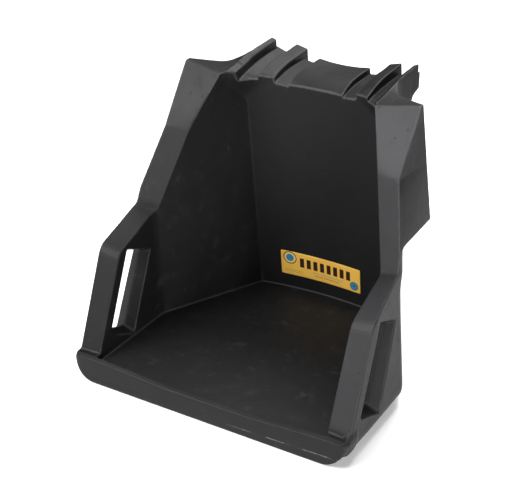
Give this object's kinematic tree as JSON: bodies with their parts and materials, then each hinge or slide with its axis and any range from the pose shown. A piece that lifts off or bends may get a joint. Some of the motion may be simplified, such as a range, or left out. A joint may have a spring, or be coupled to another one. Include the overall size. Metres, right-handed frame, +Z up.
{
  "type": "spill containment dispensing shelf",
  "caption": "Hollow plastic basin shelf with an open front, carrying slots in its side walls and a ribbed drum cradle at the top rear.",
  "frame": {"origin": "centre of the footprint's bounding box, on the floor", "axes": "+Z up, -Y towards the open front, +X towards the side wall on the right as seen from the open front; X = 0 is the mirror plane"},
  "size_m": [0.512, 0.476, 0.484],
  "materials": {
    "moulding": "fine satin grain of rotomoulded black polyethylene",
    "label": "printed film, semi-gloss",
    "plug": "smooth black plastic"
  },
  "bodies": {
    "root": {"floor_pan": "moulding", "front_sill": "moulding", "left_handle": "moulding", "right_handle": "moulding", "left_cheek": "moulding", "right_cheek": "moulding", "left_side_wall": "moulding", "right_side_wall": "moulding", "back_wall": "moulding", "left_back_panel": "moulding", "right_back_panel": "moulding", "left_rear_box": "moulding", "right_rear_box": "moulding", "left_post": "moulding", "right_post": "moulding", "left_shoulder": "moulding", "right_shoulder": "moulding", "saddle_pad": "moulding", "left_inner_channel": "moulding", "right_inner_channel": "moulding", "left_inner_rib": "moulding", "right_inner_rib": "moulding", "left_outer_channel": "moulding", "right_outer_channel": "moulding", "left_outer_rib": "moulding", "right_outer_rib": "moulding", "label": "label", "vent_plug": "plug"}
  },
  "joints": []
}
